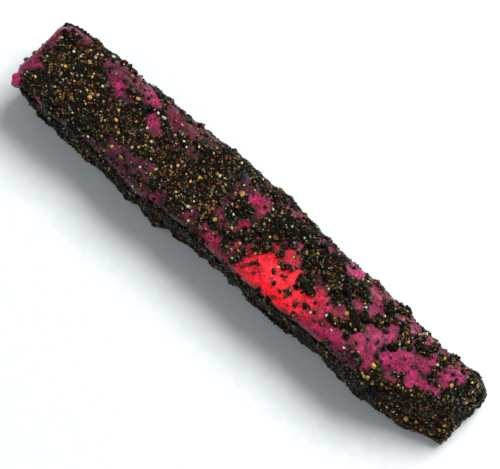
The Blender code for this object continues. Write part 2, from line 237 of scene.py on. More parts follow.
# Heaps of black grit on top: x, y, half length, half width, turn in degrees and height
heaps = (
    # on and round the wide clear patch
    (19.8, -1.7, 1.4, 1.4, 0, 1.0), (20.5, 0.4, 0.8, 1.0, 0, 0.6), (14.4, -1.1, 1.9, 0.45, 18, 0.5),
    (11.9, -0.1, 0.8, 0.9, -20, 0.5), (12.4, 3.6, 1.2, 0.9, 0, 0.6), (13.3, -3.6, 0.7, 0.5, 0, 0.4),
    (9.6, -4.9, 0.8, 0.4, 0, 0.2), (8.4, -6.1, 0.4, 0.4, 0, 0.3), (15.0, -6.0, 0.5, 0.6, 0, 0.4),
    (15.6, -3.1, 0.4, 0.3, 0, 0.2), (17.6, -5.8, 1.2, 0.4, 20, 0.3), (19.2, -5.3, 0.9, 0.5, 0, 0.4),
    (21.8, -6.4, 0.7, 0.4, -20, 0.3), (22.7, -7.6, 0.9, 0.4, 0, 0.3), (24.0, -4.8, 0.7, 0.4, 0, 0.3),
    (22.4, -2.0, 1.2, 1.0, 0, 0.5), (3.8, -2.2, 1.2, 1.2, 0, 0.6), (7.2, -2.6, 0.8, 1.2, 0, 0.5),
    (1.8, -6.6, 1.3, 1.0, 0, 0.6), (5.4, -5.6, 0.8, 1.5, 0, 0.5), (-0.9, 3.0, 1.2, 0.7, 0, 0.5),
    (0.0, -3.9, 1.8, 0.6, 0, 0.5), (8.8, -0.8, 1.3, 1.0, 0, 0.5), (4.0, 0.6, 1.5, 1.0, 0, 0.5),
    # right of it
    (28.0, 4.4, 2.6, 1.8, 0, 0.8), (29.5, -3.4, 1.6, 0.8, 0, 0.5), (31.5, -3.2, 1.6, 0.9, 30, 0.5),
    (34.3, -1.2, 1.5, 1.7, -20, 0.7), (34.8, 1.4, 1.5, 1.1, 20, 0.6), (37.8, 3.2, 2.4, 0.9, 40, 0.5),
    (37.5, 6.6, 1.6, 1.0, 0, 0.5), (39.8, 5.2, 1.2, 0.5, 20, 0.3), (43.9, 1.2, 0.7, 1.6, -25, 0.8),
    (43.0, 6.3, 0.9, 0.8, 0, 0.4), (44.6, 3.4, 1.2, 1.6, 0, 0.5), (49.2, -2.2, 0.5, 0.6, 0, 0.5),
    (47.8, -3.2, 0.8, 0.4, 20, 0.4), (49.0, 4.9, 2.0, 1.2, 10, 0.6), (46.8, 6.6, 0.8, 1.0, 0, 0.4),
    (54.0, 2.4, 0.9, 1.8, 0, 0.3), (42.7, -0.6, 0.7, 0.7, 0, 0.3), (40.6, -0.5, 0.5, 0.7, 0, 0.3),
    (39.7, 0.9, 0.4, 0.3, 0, 0.2), (58.8, 6.3, 0.6, 0.6, 0, 0.5), (50.2, 7.0, 0.6, 1.2, 0, 0.4),
    # in the black stretches of the crust
    (7.0, 5.0, 1.6, 1.2, 0, 0.5), (9.6, 7.2, 1.6, 1.2, 0, 0.5), (13.0, 7.4, 1.4, 1.0, 0, 0.4),
    (17.2, 3.2, 1.3, 1.6, 0, 0.5), (20.0, 6.0, 1.4, 1.0, 0, 0.4), (23.6, 5.6, 1.4, 1.1, 0, 0.5),
    (-57.6, 3.4, 1.0, 0.9, 0, 0.5), (-41.0, -6.5, 2.0, 1.2, 0, 0.5), (-46.0, -7.6, 1.8, 1.0, 0, 0.4),
    (-33.0, 2.4, 1.3, 1.1, 0, 0.4), (-50.0, 2.0, 1.8, 1.2, 0, 0.4),
)
heapEdge = {
    "leastFacing": 0.3,
    "frayWave": (1.4, 33),
    "slopeSpan": (-0.25, 0.55),
    "hidingSpan": (0.0, 0.2),
}


leastGrowth = 1e-6  # keeps the division below from failing in the middle of an oval


# How far each spot lies outside an oval, in millimetres and roughly: its size in the
# oval's own radii, less one, over how fast that size grows there.
def beyondOval(right, back, halfLength, halfWidth, turn):
    lean = math.radians(turn)
    inX = (right * math.cos(lean) + back * math.sin(lean)) / halfLength
    inY = (back * math.cos(lean) - right * math.sin(lean)) / halfWidth
    size = np.hypot(inX, inY)
    growth = np.hypot(inX / halfLength, inY / halfWidth)
    return size * (size - 1.0) / np.maximum(growth, leastGrowth)


# How clean the ruby is at each point, from 0 under the crust to 1 where it is bare. Each
# window is an oval on one side of the bar; its edge wanders and frays, and heaps and small
# flecks of grit cover it, more flecks where it is less clean.
def cleanness(points, facing):
    spots = points + np.array(bar["toMiddle"])
    wander = windowEdge["wander"] * swell(points, *windowEdge["wanderWave"])
    wander += windowEdge["fray"] * swell(points, *windowEdge["frayWave"]) - windowEdge["grow"]
    soft = windowEdge["softness"]
    clean = np.zeros(len(points))
    for side, (first, second, axis, way, least) in windowSides.items():
        mine = np.flatnonzero(way * facing[:, axis] > least)
        place = spots[mine]
        for x, y, halfLength, halfWidth, turn, share in windows[side]:
            beyond = beyondOval(place[:, first] - x, place[:, second] - y, halfLength, halfWidth, turn)
            inside = share * smoothStep(-beyond - wander[mine], -soft, soft)
            clean[mine] = np.maximum(clean[mine], inside)
    clean *= 1.0 - smoothStep(heapHeight(points, facing), *heapEdge["hidingSpan"])
    fleck = swell(points, *windowEdge["fleckWave"]) + windowEdge["moreWhereDusty"] * (1.0 - clean)
    return clean * (1.0 - smoothStep(fleck, *windowEdge["fleckSpan"]))


# The heaps over the top, each a smooth dome on a ragged oval.
def heapHeight(points, facing):
    height = np.zeros(len(points))
    mine = np.flatnonzero(facing[:, 2] > heapEdge["leastFacing"])
    place = points[mine] + np.array(bar["toMiddle"])
    fray = windowEdge["fray"] * swell(points[mine], *heapEdge["frayWave"])
    for x, y, halfLength, halfWidth, turn, tall in heaps:
        beyond = beyondOval(place[:, 0] - x, place[:, 1] - y, halfLength, halfWidth, turn)
        dome = tall * smoothStep(-beyond - fray, *heapEdge["slopeSpan"])
        height[mine] = np.maximum(height[mine], dome)
    return height


# A closed grid over the cube: rings from the middle of the left end, along the bar, to the
# middle of the right end, with a pole at each. Returns the cube points and the faces.
def blockGrid(step):
    acrossCount = round(bar["width"] / step)
    upCount = round(bar["height"] / step)
    across = np.linspace(-1.0, 1.0, acrossCount + 1)[:-1]
    up = np.linspace(-1.0, 1.0, upCount + 1)[:-1]
    rimY = np.concatenate([across, np.ones(upCount), -across, -np.ones(upCount)])
    rimZ = np.concatenate([-np.ones(acrossCount), up, np.ones(acrossCount), -up])
    capCount = round(bar["height"] / 2.0 / step)
    alongCount = round(barLength / step)
    cap = np.linspace(0.0, 1.0, capCount + 1)[1:]
    along = np.linspace(-1.0, 1.0, alongCount + 1)
    ringX = np.concatenate([np.full(capCount - 1, -1.0), along, np.full(capCount - 1, 1.0)])
    ringSize = np.concatenate([cap[:-1], np.ones(alongCount + 1), cap[:-1][::-1]])
    rings, around = len(ringX), len(rimY)
    cube = np.stack(np.broadcast_arrays(
        ringX[:, None], ringSize[:, None] * rimY, ringSize[:, None] * rimZ), axis=-1).reshape(-1, 3)
    cube = np.concatenate([cube, [[-1.0, 0.0, 0.0], [1.0, 0.0, 0.0]]])
    spoke = np.arange(around)
    nextSpoke = (spoke + 1) % around
    ringStart = np.arange(rings - 1)[:, None] * around
    here, beside = ringStart + spoke, ringStart + nextSpoke
    quads = np.stack([here, beside, beside + around, here + around], axis=-1)
    lastRing = (rings - 1) * around
    leftPole = np.full(around, rings * around)
    leftFan = np.stack([leftPole, nextSpoke, spoke], axis=-1)
    rightFan = np.stack([leftPole + 1, lastRing + spoke, lastRing + nextSpoke], axis=-1)
    return cube, quads.reshape(-1, 4), np.concatenate([leftFan, rightFan])


# A mesh from arrays: points in millimetres, then faces as arrays of three or four corners.
def meshFrom(name, points, faceSets, smooth=True, attributes=None):
    mesh = bpy.data.meshes.new(name)
    sizes = np.concatenate([np.full(len(faces), faces.shape[1]) for faces in faceSets])
    corners = np.concatenate([faces.reshape(-1) for faces in faceSets])
    mesh.vertices.add(len(points))
    mesh.loops.add(len(corners))
    mesh.polygons.add(len(sizes))
    place = (points + np.array(bar["toMiddle"])) * mm
    mesh.vertices.foreach_set("co", place.astype(np.float32).reshape(-1))
    mesh.loops.foreach_set("vertex_index", corners.astype(np.int32))
    starts = np.concatenate([[0], np.cumsum(sizes)[:-1]])
    mesh.polygons.foreach_set("loop_start", starts.astype(np.int32))
    mesh.polygons.foreach_set("use_smooth", np.full(len(sizes), smooth))
    for key, values in (attributes or {}).items():
        layer = mesh.attributes.new(key, "FLOAT", "POINT")
        layer.data.foreach_set("value", values.astype(np.float32))
    mesh.update(calc_edges=True)
    mesh.validate()
    return mesh


# Puts a mesh in the scene as a piece of the stone, with its material.
def addPiece(mesh, material):
    piece = bpy.data.objects.new(mesh.name, mesh)
    bpy.context.scene.collection.objects.link(piece)
    mesh.materials.append(material)
    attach(piece, "root")
    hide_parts(nodeName)


# A small helper for node materials: adds a node, sets its inputs and links others to them.
# An input is named by its label or, as at0, by its number.
class Recipe:
    def __init__(self, name):
        self.material = bpy.data.materials.new(name)
        self.material.use_nodes = True
        self.tree = self.material.node_tree
        self.shader = self.tree.nodes["Principled BSDF"]
        self.place = self.add("ShaderNodeTexCoord").outputs["Object"]

    def add(self, kind, settings=None, **inputs):
        node = self.tree.nodes.new(kind)
        for key, value in (settings or {}).items():
            setattr(node, key, value)
        for key, value in inputs.items():
            self.put(node, key, value)
        return node

    def put(self, node, key, value):
        numbered = key.startswith("at") and key[2:].isdigit()
        socket = node.inputs[int(key[2:])] if numbered else node.inputs[key]
        if isinstance(value, bpy.types.NodeSocket):
            self.tree.links.new(value, socket)
        else:
            socket.default_value = value

    # soft noise over the piece, from 0 to 1 and mostly near 0.5
    def noise(self, scale, detail, roughness=0.5):
        return self.add(
            "ShaderNodeTexNoise", Vector=self.place, Scale=scale, Detail=detail, Roughness=roughness,
        ).outputs["Fac"]

    # a value that the mesh carries at each of its points
    def mark(self, name):
        return self.add("ShaderNodeAttribute", {"attribute_name": name}).outputs["Fac"]

    # each of two values times its share, added up
    def sum(self, first, firstShare, second, secondShare):
        scaled = self.add("ShaderNodeMath", {"operation": "MULTIPLY"}, at0=second, at1=secondShare)
        added = self.add(
            "ShaderNodeMath", {"operation": "MULTIPLY_ADD"},
            at0=first, at1=firstShare, at2=scaled.outputs[0])
        return added.outputs[0]

    # a soft step, 0 below low and 1 above high
    def span(self, value, low, high):
        node = self.add("ShaderNodeMapRange", {"interpolation_type": "SMOOTHSTEP"}, Value=value)
        self.put(node, "From Min", low)
        self.put(node, "From Max", high)
        return node.outputs["Result"]

    # the first colour at 0, the second at 1
    def mix(self, factor, first, second):
        node = self.add("ShaderNodeMix", {"data_type": "RGBA"}, at0=factor, at6=first, at7=second)
        return node.outputs[2]

    # a colour for each place from 0 to 1, blended between them
    def ramp(self, factor, places, colours):
        node = self.tree.nodes.new("ShaderNodeValToRGB")
        self.tree.links.new(factor, node.inputs["Fac"])
        elements = node.color_ramp.elements
        while len(elements) < len(places):
            elements.new(0.5)
        for element, place, shade in zip(elements, places, colours):
            element.position = place
            element.color = shade
        return node.outputs["Color"]

    # relief from a value, its distance in metres
    def bump(self, height, strength, distance):
        return self.add("ShaderNodeBump", Strength=strength, Distance=distance, Height=height).outputs[0]

    def finish(self, values):
        for key, value in values.items():
            self.put(self.shader, key, value)
        return self.material


# A colour given as a screen shows it, each channel from 0 to 255, turned into linear light by
# the usual curve: a straight foot, then a power of 2.4.
def colour(red, green, blue):
    channels = np.array([red, green, blue]) / 255.0
    linear = np.where(channels <= 0.04045, channels / 12.92, ((channels + 0.055) / 1.055) ** 2.4)
    return (*linear.tolist(), 1.0)


# The ruby itself: magenta, frosted, and see-through enough for light to pass, with painted glow: redder
# colours where the light under it shines through
ruby = {
    "step": 0.4,
    "leastHeight": 0.12,
    "deep": colour(46, 4, 20),
    "rose": colour(156, 12, 72),
    "pale": colour(212, 58, 130),
    # painted glow: a redder copy of the three colours, standing in for the light under the stone shining
    # through
    "paintedGlowDeep": colour(62, 0, 8),
    "paintedGlowRose": colour(190, 10, 38),
    "paintedGlowPale": colour(236, 56, 86),
    "film": colour(94, 18, 46),
    "soot": colour(22, 7, 12),
    "frostScale": 2100.0,
    "frostDetail": 5.0,
    "frostRoughness": 0.7,
    "frostShare": 0.6,
    "cloudScale": 420.0,
    "cloudDetail": 4.0,
    "cloudShare": 0.4,
    # the grade, frost and cloud added up, runs from deep through rose to pale at these values
    "gradeStops": (0.4, 0.5, 0.62),
    # soot, film and bare stone by how clean it is, with some of the grade added
    "gradeInDust": 0.9,
    "sootSpan": (0.58, 1.0),
    "filmSpan": (0.98, 1.4),
    "bumpStrength": 0.55,
    "bumpDistance": 0.00016,
    "roughness": 0.4,
    "ior": 1.77,
    "specular": 0.12,
    "transmission": 0.16,
    "subsurface": 0.5,
    "subsurfaceReach": 0.006,
    "subsurfaceByChannel": (1.0, 0.12, 0.2),
    "absorbColour": colour(240, 30, 70),
    "absorbDensity": 130.0,
    # the bare lump on its front left corner: x, y, height and radius
    "tip": (-61.3, -8.5, 13.6, 1.75),
    "tipStep": 4.0,
    "tipSwells": ((0.09, 2.4, 51),),
    # where the glow of the light under the stone is painted in as redder colour: x, y, half length, half
    # width, and where its edge fades, in its radii
    "paintedGlowSpot": (13.0, -2.0, 17.0, 10.0),
    "paintedGlowFade": (0.5, 1.3),
}


# Frost, which is fine noise, and cloud, which is coarse noise, add up to a grade. It sets the
# colour and the bump, and with the cleanness it turns bare stone to film and then to soot.
def rubyMaterial():
    recipe = Recipe("frostedRuby")
    cloud = recipe.noise(ruby["cloudScale"], ruby["cloudDetail"])
    frost = recipe.noise(ruby["frostScale"], ruby["frostDetail"], ruby["frostRoughness"])
    grade = recipe.sum(frost, ruby["frostShare"], cloud, ruby["cloudShare"])
    cold = recipe.ramp(grade, ruby["gradeStops"], (ruby["deep"], ruby["rose"], ruby["pale"]))
    # painted glow: the redder copy of the colours, mixed in by the glow mark, stands in for the light
    # under the stone shining through
    warm = recipe.ramp(grade, ruby["gradeStops"], (ruby["paintedGlowDeep"], ruby["paintedGlowRose"], ruby["paintedGlowPale"]))
    stone = recipe.mix(recipe.mark("warmthAndPaintedLight"), cold, warm)
    dusted = recipe.sum(recipe.mark("clean"), 1.0, grade, ruby["gradeInDust"])
    filmed = recipe.mix(recipe.span(dusted, *ruby["filmSpan"]), ruby["film"], stone)
    sooted = recipe.mix(recipe.span(dusted, *ruby["sootSpan"]), ruby["soot"], filmed)
    volume = recipe.add(
        "ShaderNodeVolumeAbsorption", Color=ruby["absorbColour"], Density=ruby["absorbDensity"])
    output = recipe.tree.nodes["Material Output"]
    recipe.tree.links.new(volume.outputs[0], output.inputs["Volume"])
    recipe.shader.subsurface_method = "RANDOM_WALK"
    return recipe.finish({
        "Base Color": sooted,
        "Normal": recipe.bump(grade, ruby["bumpStrength"], ruby["bumpDistance"]),
        "Roughness": ruby["roughness"],
        "IOR": ruby["ior"],
        "Specular IOR Level": ruby["specular"],
        "Transmission Weight": ruby["transmission"],
        "Subsurface Weight": ruby["subsurface"],
        "Subsurface Radius": ruby["subsurfaceByChannel"],
        "Subsurface Scale": ruby["subsurfaceReach"],
    })


# Both skins are lifted by the crust's usual thickness, less the height up to which its
# underside is worn flat.
restHeight = 0.55
crustHeight = 0.85
lift = crustHeight - restHeight


# The skin of the ruby: the bare bar moved out by its swells, then lifted.
def rubySkin(cube):
    points, facing = barePoints(cube)
    skin = points + facing * swells(points, bar["stoneSwells"])[:, None]
    skin[:, 2] = np.maximum(skin[:, 2] + lift, ruby["leastHeight"])
    return skin, facing, cleanness(points, facing)


# How much painted glow each point has: 1 in the middle of the glow spot, falling to 0 past its edge. The
# redder colour stands in for the light under the stone shining through.
def paintedGlow(skin):
    x, y, halfLength, halfWidth = ruby["paintedGlowSpot"]
    place = skin + np.array(bar["toMiddle"])
    size = np.hypot((place[:, 0] - x) / halfLength, (place[:, 1] - y) / halfWidth)
    fadeFrom, fadeTo = ruby["paintedGlowFade"]
    return smoothStep(-size, -fadeTo, -fadeFrom)


# The bar over its fine grid, and the lump: a ball whose radius is lengthened by small swells.
def makeRuby():
    cube, quads, fans = blockGrid(ruby["step"])
    skin, _, clean = rubySkin(cube)
    # the second mark is painted glow, where the light under the stone is painted in as redder colour
    marks = {"clean": clean, "warmthAndPaintedLight": paintedGlow(skin)}
    material = rubyMaterial()
    addPiece(meshFrom("rubyBar", skin, (quads, fans), attributes=marks), material)
    x, y, z, radius = ruby["tip"]
    cube, quads, fans = blockGrid(ruby["tipStep"])
    ball = unit(cube) * radius
    ball *= (1.0 + swells(ball, ruby["tipSwells"]))[:, None]
    marks = {"clean": np.ones(len(ball)), "warmthAndPaintedLight": np.zeros(len(ball))}
    lump = meshFrom("rubyTip", ball + np.array([x, y, z]), (quads, fans), attributes=marks)
    addPiece(lump, material)


# The bed of the crust: fine dark grit packed on the stone between the windows
crust = {
    "step": 0.5,
    "height": 0.5,
    "swells": ((0.14, 9.0, 21), (0.16, 4.8, 22), (0.16, 2.2, 23)),
    "sink": 0.3,
    "openFrom": 0.3,
    "leastHeight": 0.02,
    # the inner wall lies this many sinks under the ruby's skin, and no lower than this
    "innerSinks": 1.6,
    "innerLeastHeight": 0.3,
    "dark": colour(6, 8, 6),
    "brown": colour(22, 14, 7),
    "wine": colour(34, 8, 14),
    "colourStops": (0.3, 0.6, 0.85),
    "cloudScale": 300.0,
    "cloudDetail": 4.0,
    "cloudShare": 0.6,
    "cellScale": 2200.0,
    "cellShare": 0.5,
    "bumpStrength": 0.8,
    "bumpDistance": 0.0003,
    "roughness": 0.8,
    "specular": 0.08,
}


# The skin of the crust: the ruby's skin raised by the crust and its heaps, falling below
# the ruby towards each window. Also how clean the ruby is there.
def crustSkin(cube):
    points, facing = barePoints(cube)
    clean = cleanness(points, facing)
    gone = smoothStep(clean, 0.0, crust["openFrom"])
    rise = (crust["height"] + swells(points, crust["swells"])) * (1.0 - gone) - crust["sink"] * gone
    rise += heapHeight(points, facing)
    skin = points + facing * (swells(points, bar["stoneSwells"]) + rise)[:, None]
    skin[:, 2] = np.maximum(skin[:, 2] + lift, crust["leastHeight"])
    return skin, facing, clean


# The outer wall of the crust, an inner wall sunk in the ruby, and a rim round each window: an
# edge that no face uses the other way round lies on a rim, and gets a wall.
def makeCrust():
    cube, quads, fans = blockGrid(crust["step"])
    skin, facing, clean = crustSkin(cube)
    inner = rubySkin(cube)[0] - facing * (crust["sink"] * crust["innerSinks"])
    inner[:, 2] = np.maximum(inner[:, 2], crust["innerLeastHeight"])
    covered = clean < crust["openFrom"]
    keepQuads = quads[covered[quads].all(axis=1)]
    keepFans = fans[covered[fans].all(axis=1)]
    edges = np.concatenate([
        np.stack([faces, np.roll(faces, -1, axis=1)], axis=-1).reshape(-1, 2)
        for faces in (keepQuads, keepFans)
    ])
    there = edges[:, 0].astype(np.int64) * len(cube) + edges[:, 1]
    back = edges[:, 1].astype(np.int64) * len(cube) + edges[:, 0]
    rim = edges[~np.isin(there, back)]
    shift = len(cube)
    walls = np.stack([rim[:, 1], rim[:, 0], rim[:, 0] + shift, rim[:, 1] + shift], axis=-1)
    points = np.concatenate([skin, inner])
    fourSided = np.concatenate([keepQuads, keepQuads[:, ::-1] + shift, walls])
    threeSided = np.concatenate([keepFans, keepFans[:, ::-1] + shift])
    used = np.zeros(len(points), bool)
    used[fourSided] = True
    used[threeSided] = True
    number = np.cumsum(used) - 1
    mesh = meshFrom("gritBed", points[used], (number[fourSided], number[threeSided]))
    addPiece(mesh, crustMaterial())


# Cells and cloudy noise added up, graded from nearly black through brown to wine.
def crustMaterial():
    recipe = Recipe("packedGrit")
    cloud = recipe.noise(crust["cloudScale"], crust["cloudDetail"])
    cellNode = recipe.add("ShaderNodeTexVoronoi", Vector=recipe.place, Scale=crust["cellScale"])
    cells = cellNode.outputs["Distance"]
    grade = recipe.sum(cells, crust["cellShare"], cloud, crust["cloudShare"])
    paint = recipe.ramp(grade, crust["colourStops"], (crust["dark"], crust["brown"], crust["wine"]))
    return recipe.finish({
        "Base Color": paint,
        "Roughness": crust["roughness"],
        "Specular IOR Level": crust["specular"],
        "Normal": recipe.bump(cells, crust["bumpStrength"], crust["bumpDistance"]),
    })


# The grains: small angular chips, scattered over the crust in several kinds. For each kind:
# its slot, its darkest and lightest colour, its roughness, and its share of the grains in
# the cold black stretches and in the warm brown ones.
grainKinds = {
    "blackGrains": ("dark_grit", colour(3, 6, 5), colour(28, 40, 35), 0.28, 0.68, 0.36),
    "oliveGrains": ("olive_grit", colour(18, 20, 7), colour(104, 96, 46), 0.3, 0.2, 0.26),
    "brownGrains": ("olive_grit", colour(26, 10, 4), colour(128, 70, 34), 0.3, 0.05, 0.2),
    "goldGrains": ("gold_grit", colour(84, 54, 14), colour(216, 170, 84), 0.26, 0.02, 0.09),
    "paleGrains": ("gold_grit", colour(96, 92, 60), colour(226, 222, 184), 0.24, 0.022, 0.035),
    "rosyGrains": ("ruby", colour(66, 12, 24), colour(184, 92, 92), 0.28, 0.028, 0.055),
}
grains = {
    "seed": 101,
    "specular": 0.18,
    "count": 27000,
    "sizes": (0.26, 0.56),
    "fineCount": 30000,
    "fineSizes": (0.15, 0.26),
    "flatness": (0.62, 1.0),
    "uneven": (0.72, 1.2),
    "sunk": 0.2,
    # a place keeps its grain by how covered it is, to the power of thinning, and by at least
    # the chance of a speck
    "thinning": 1.2,
    "speckChance": 0.045,
    # where it is cleaner than this the grains are this much smaller
    "cleanFrom": 0.7,
    "cleanSize": 0.6,
    # powers of an even draw: more small grains than large ones, more dark ones than light
    "smallPower": 1.5,
    "darkPower": 1.6,
    "pebbleTones": (0.45, 0.8),
    "pebbleRise": 0.25,
    "pebbleFacing": 0.1,
    # no grain's middle is nearer to the floor than this many of its sizes
    "floorSizes": 1.4,
    "noiseScale": 2600.0,
    "noiseDetail": 3.0,
    "noiseShare": 0.4,
    "toneShare": 0.8,
    "colourStops": (0.15, 1.0),
    "bumpStrength": 0.4,
    "bumpDistance": 0.0001,
}
# How warm the crust is: a base, swells, the places below, and painted shade: colder, blacker grit on faces
# that turn sideways or down
crustToneAndShade = {
    "base": 0.3,
    "swells": ((0.2, 7.0, 41), (0.12, 2.6, 42)),
    "placeFade": (0.5, 1.2),
    "placeFacing": (-0.2, 0.4),
    # painted shade: how much colder and blacker the crust is made where it faces down or sideways, and
    # over which facing
    "paintedUnderShade": 0.25,
    "paintedShadeFacing": (-0.5, 0.3),
}
# Warm stretches of the crust, and cold ones below zero: x, y, half length, half width, weight
warmPlaces = (
    (-50.0, 1.0, 9.0, 7.0, 0.6), (-34.0, -1.0, 12.0, 6.0, 0.6), (-14.0, -2.0, 12.0, 6.0, 0.5),
    (-24.0, 4.0, 8.0, 4.0, 0.3), (54.0, -6.0, 9.0, 3.6, 1.0), (61.0, -4.0, 3.0, 4.0, 0.7),
    (63.0, 4.5, 1.6, 2.4, 0.8), (44.8, 3.8, 2.2, 2.6, 0.8), (53.9, 2.4, 1.8, 2.8, 0.9),
    (27.0, -5.2, 3.0, 2.0, 0.6), (43.0, -8.0, 3.0, 2.0, 0.6), (3.0, 3.0, 2.5, 2.0, 0.4),
    (-42.0, -6.4, 5.0, 3.2, -1.0), (-49.5, 2.0, 3.0, 1.8, -0.5), (-33.5, 2.4, 1.8, 1.6, -0.6),
    (13.0, 6.2, 10.0, 3.0, -0.6), (-16.0, 2.5, 4.0, 2.5, -0.3), (28.0, 4.4, 3.4, 2.4, -0.7),
    (19.8, -1.4, 2.0, 2.6, -1.0), (34.5, 0.0, 2.2, 3.0, -0.8), (62.0, 1.0, 2.0, 4.0, -0.5),
)
# Single larger grains on top: x, y, radius, kind
pebbles = (
    (43.8, -5.1, 0.95, "goldGrains"), (58.4, 2.4, 0.85, "goldGrains"), (31.8, -0.5, 0.85, "goldGrains"),
    (-44.5, -1.6, 0.72, "goldGrains"), (-44.8, -0.5, 0.55, "goldGrains"), (-10.2, 4.1, 0.65, "paleGrains"),
    (-10.5, -5.6, 0.6, "paleGrains"), (-4.1, -4.1, 0.6, "goldGrains"), (-49.3, -5.6, 0.7, "oliveGrains"),
    (-47.5, -4.2, 0.75, "oliveGrains"), (9.2, -1.1, 0.8, "oliveGrains"), (8.6, 1.8, 0.9, "brownGrains"),
    (-3.3, 4.3, 0.85, "goldGrains"), (-27.2, 0.0, 0.5, "paleGrains"), (-14.3, 7.3, 0.4, "paleGrains"),
    (-18.0, 5.8, 0.42, "paleGrains"), (-8.5, 9.3, 0.4, "paleGrains"), (-30.7, 5.7, 0.5, "paleGrains"),
    (-28.6, 5.9, 0.55, "paleGrains"), (-37.3, 0.5, 0.5, "goldGrains"), (-36.3, -1.2, 0.6, "goldGrains"),
    (-22.2, -4.0, 0.6, "goldGrains"), (-22.0, -5.3, 0.55, "goldGrains"), (-16.1, -0.5, 0.4, "goldGrains"),
    (-15.1, -4.8, 0.45, "goldGrains"), (-14.2, -2.3, 0.6, "oliveGrains"), (-36.1, 5.1, 0.75, "goldGrains"),
    (-41.0, 8.5, 0.4, "goldGrains"), (-50.0, 4.4, 0.65, "goldGrains"), (-54.7, 3.7, 0.45, "paleGrains"),
    (-57.6, 3.4, 0.4, "oliveGrains"), (-54.7, 0.1, 0.4, "paleGrains"), (-56.0, 1.6, 0.5, "oliveGrains"),
    (-52.7, 3.6, 0.5, "oliveGrains"), (-47.5, 3.1, 0.45, "paleGrains"), (-44.2, 2.4, 0.45, "paleGrains"),
    (-58.5, 0.6, 0.6, "brownGrains"), (-57.0, -6.3, 0.6, "goldGrains"), (-34.0, -3.3, 0.5, "goldGrains"),
    (-38.8, -8.0, 0.4, "paleGrains"), (-45.3, -6.5, 0.36, "paleGrains"), (-7.2, 2.4, 0.6, "oliveGrains"),
    (-8.8, 0.8, 0.55, "oliveGrains"), (13.5, 6.1, 0.35, "paleGrains"), (18.1, 5.1, 0.5, "goldGrains"),
    (16.1, 5.6, 0.5, "oliveGrains"), (16.0, 3.8, 0.5, "goldGrains"), (4.2, 6.0, 0.36, "paleGrains"),
    (5.1, 3.9, 0.4, "goldGrains"), (2.8, 2.4, 0.5, "brownGrains"), (24.3, 2.5, 0.6, "oliveGrains"),
    (21.1, 2.4, 0.5, "oliveGrains"), (27.5, 6.1, 0.55, "oliveGrains"), (29.2, 7.5, 0.5, "goldGrains"),
    (33.1, 3.6, 0.32, "paleGrains"), (30.3, 3.5, 0.5, "oliveGrains"), (45.5, 3.6, 0.5, "goldGrains"),
    (44.6, 1.8, 0.34, "paleGrains"), (52.8, -3.5, 0.5, "goldGrains"), (50.4, -4.5, 0.4, "goldGrains"),
    (54.2, -7.8, 0.85, "goldGrains"), (60.2, -6.5, 0.5, "goldGrains"), (61.6, -3.8, 0.6, "goldGrains"),
    (61.5, -5.0, 0.5, "goldGrains"), (59.2, -4.0, 0.5, "goldGrains"), (62.8, -6.6, 0.55, "oliveGrains"),
    (63.5, 4.0, 0.7, "oliveGrains"), (53.8, 4.0, 0.42, "paleGrains"), (45.6, 6.0, 0.45, "brownGrains"),
    (41.0, 5.1, 0.45, "brownGrains"), (38.0, 4.5, 0.4, "paleGrains"), (39.1, 4.0, 0.4, "oliveGrains"),
    (44.0, -7.4, 0.6, "goldGrains"), (4.6, -5.5, 0.5, "goldGrains"), (4.4, -7.4, 0.4, "paleGrains"),
    (3.5, -4.0, 0.5, "goldGrains"), (1.8, -1.6, 0.36, "paleGrains"), (14.5, 1.0, 0.34, "goldGrains"),
    (13.7, -2.6, 0.4, "paleGrains"), (25.5, -5.3, 0.5, "paleGrains"), (34.4, -3.8, 0.5, "oliveGrains"),
    (31.5, -5.5, 0.36, "paleGrains"), (39.2, -5.0, 0.42, "goldGrains"), (36.3, -6.1, 0.4, "paleGrains"),
)

# The corners and faces of a block, which most grains start from
blockReach = 0.66
blockCorners = blockReach * np.array([
    (-1, -1, -1), (1, -1, -1), (1, 1, -1), (-1, 1, -1),
    (-1, -1, 1), (1, -1, 1), (1, 1, 1), (-1, 1, 1)], float)
blockFaces = np.array([
    (0, 2, 1), (0, 3, 2), (4, 5, 6), (4, 6, 7), (0, 1, 5), (0, 5, 4),
    (1, 2, 6), (1, 6, 5), (2, 3, 7), (2, 7, 6), (3, 0, 4), (3, 4, 7)])
# The same of a rounder shape for pebbles: a ball of twenty faces
goldenRatio = (1.0 + math.sqrt(5.0)) / 2.0
ballCorners = unit(np.array([
    (-1, goldenRatio, 0), (1, goldenRatio, 0), (-1, -goldenRatio, 0), (1, -goldenRatio, 0),
    (0, -1, goldenRatio), (0, 1, goldenRatio), (0, -1, -goldenRatio), (0, 1, -goldenRatio),
    (goldenRatio, 0, -1), (goldenRatio, 0, 1), (-goldenRatio, 0, -1), (-goldenRatio, 0, 1)], float))
ballFaces = np.array([
    (0, 11, 5), (0, 5, 1), (0, 1, 7), (0, 7, 10), (0, 10, 11),
    (1, 5, 9), (5, 11, 4), (11, 10, 2), (10, 7, 6), (7, 1, 8),
    (3, 9, 4), (3, 4, 2), (3, 2, 6), (3, 6, 8), (3, 8, 9),
    (4, 9, 5), (2, 4, 11), (6, 2, 10), (8, 6, 7), (9, 8, 1)])
# And of a smaller shape for fine grit: two pyramids, base to base
spikeCorners = np.array([(1, 0, 0), (-1, 0, 0), (0, 1, 0), (0, -1, 0), (0, 0, 1), (0, 0, -1)], float)
spikeFaces = np.array([
    (0, 2, 4), (2, 1, 4), (1, 3, 4), (3, 0, 4), (2, 0, 5), (1, 2, 5), (3, 1, 5), (0, 3, 5)])


